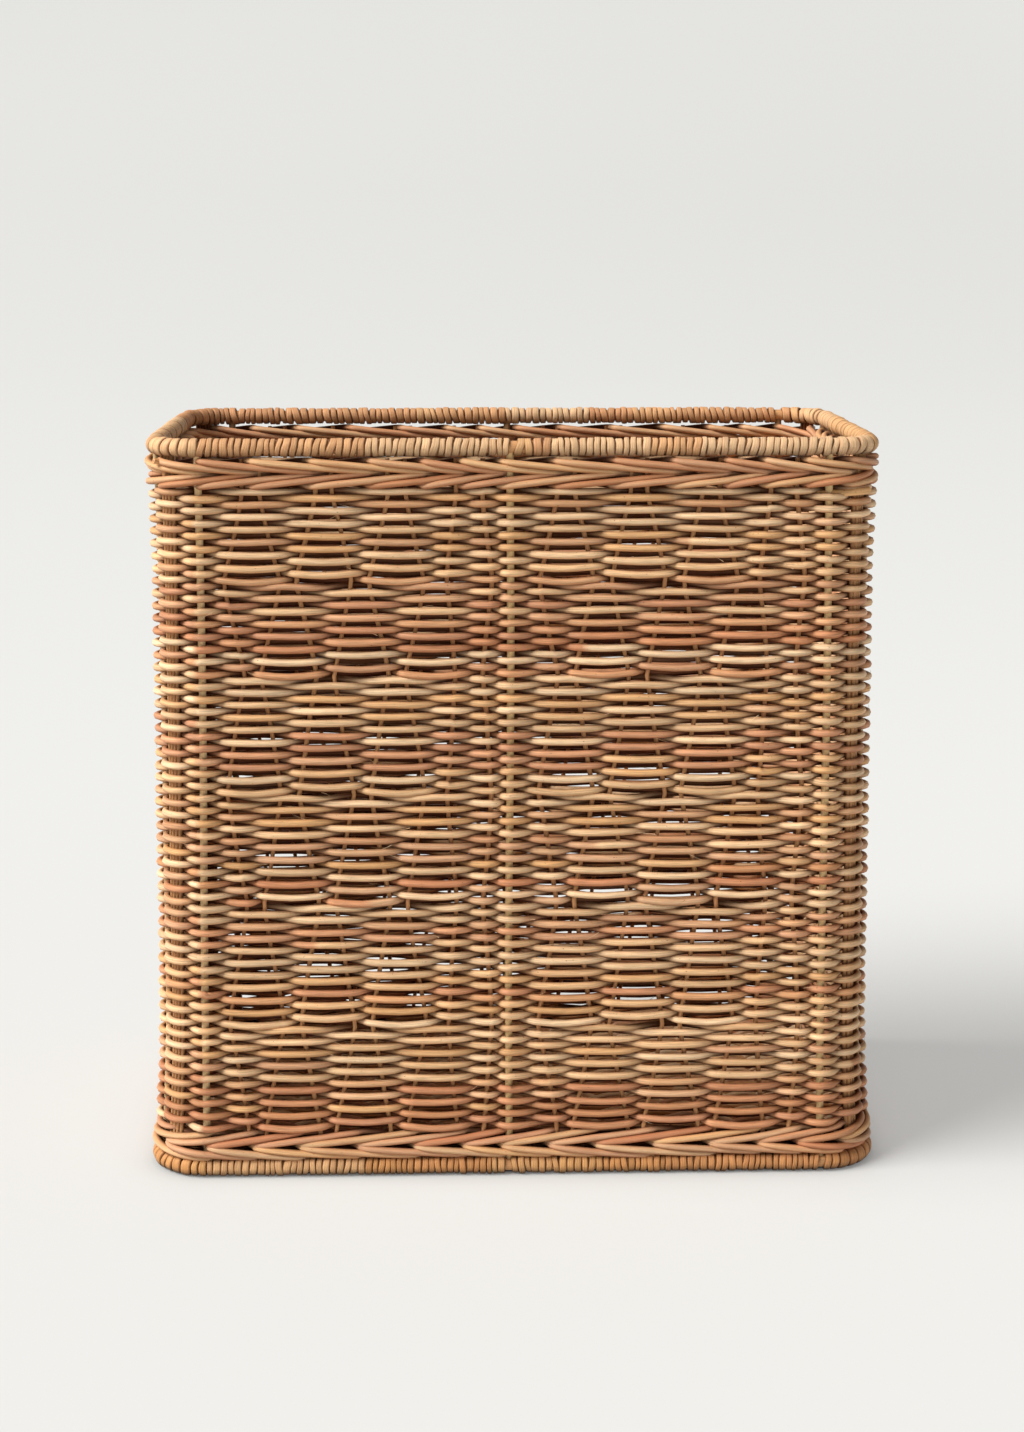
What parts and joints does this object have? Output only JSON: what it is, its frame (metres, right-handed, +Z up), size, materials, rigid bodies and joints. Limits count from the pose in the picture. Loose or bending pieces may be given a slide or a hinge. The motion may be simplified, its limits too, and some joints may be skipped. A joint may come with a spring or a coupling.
{
  "type": "wastebasket",
  "caption": "Rectangular open-top rattan wastebasket with rounded corners, a cane-bound rim and foot, upright posts, and tight round-reed weaving between braided wales.",
  "frame": {"origin": "centre of the footprint on the floor", "axes": "+Z up, +X along the wide front face to its right, +Y from the front to the back"},
  "size_m": [0.3108, 0.1728, 0.312],
  "materials": {
    "hoop_pole": "peeled pole, satin",
    "cane_binding": "split cane skin, satin with fine grooves",
    "post_rattan": "olive straw, unpeeled, satin",
    "stake_rattan": "reddish brown, matt",
    "weaver_reed": "straw to tan round reed, matt with fine fibre",
    "wale_reed": "straw to reddish brown round reed, satin",
    "base_reed": "straw round reed, matt"
  },
  "bodies": {
    "root": {"top_hoop_core": "hoop_pole", "top_hoop_binding": "cane_binding", "bottom_hoop_core": "hoop_pole", "bottom_hoop_binding": "cane_binding", "front_centre_post": "post_rattan", "back_centre_post": "post_rattan", "front_left_face_post": "post_rattan", "front_left_side_post": "post_rattan", "front_left_corner_stakes": "stake_rattan", "front_right_face_post": "post_rattan", "front_right_side_post": "post_rattan", "front_right_corner_stakes": "stake_rattan", "back_right_face_post": "post_rattan", "back_right_side_post": "post_rattan", "back_right_corner_stakes": "stake_rattan", "back_left_face_post": "post_rattan", "back_left_side_post": "post_rattan", "back_left_corner_stakes": "stake_rattan", "left_stake_1": "stake_rattan", "left_stake_2": "stake_rattan", "left_stake_3": "stake_rattan", "left_stake_4": "stake_rattan", "left_stake_5": "stake_rattan", "left_stake_6": "stake_rattan", "left_stake_7": "stake_rattan", "left_stake_8": "stake_rattan", "right_stake_1": "stake_rattan", "right_stake_2": "stake_rattan", "right_stake_3": "stake_rattan", "right_stake_4": "stake_rattan", "right_stake_5": "stake_rattan", "right_stake_6": "stake_rattan", "right_stake_7": "stake_rattan", "right_stake_8": "stake_rattan", "side_stake_1": "stake_rattan", "side_stake_2": "stake_rattan", "side_stake_3": "stake_rattan", "side_stake_4": "stake_rattan", "side_stake_5": "stake_rattan", "side_stake_6": "stake_rattan", "side_stake_7": "stake_rattan", "side_stake_8": "stake_rattan", "weave_tier_1": "weaver_reed", "weave_tier_2": "weaver_reed", "weave_tier_3": "weaver_reed", "weave_tier_4": "weaver_reed", "weave_tier_5": "weaver_reed", "weave_tier_6": "weaver_reed", "top_wale_upper": "wale_reed", "top_wale_lower": "wale_reed", "bottom_wale_upper": "wale_reed", "bottom_wale_lower": "wale_reed", "base_mat": "base_reed"}
  },
  "joints": []
}
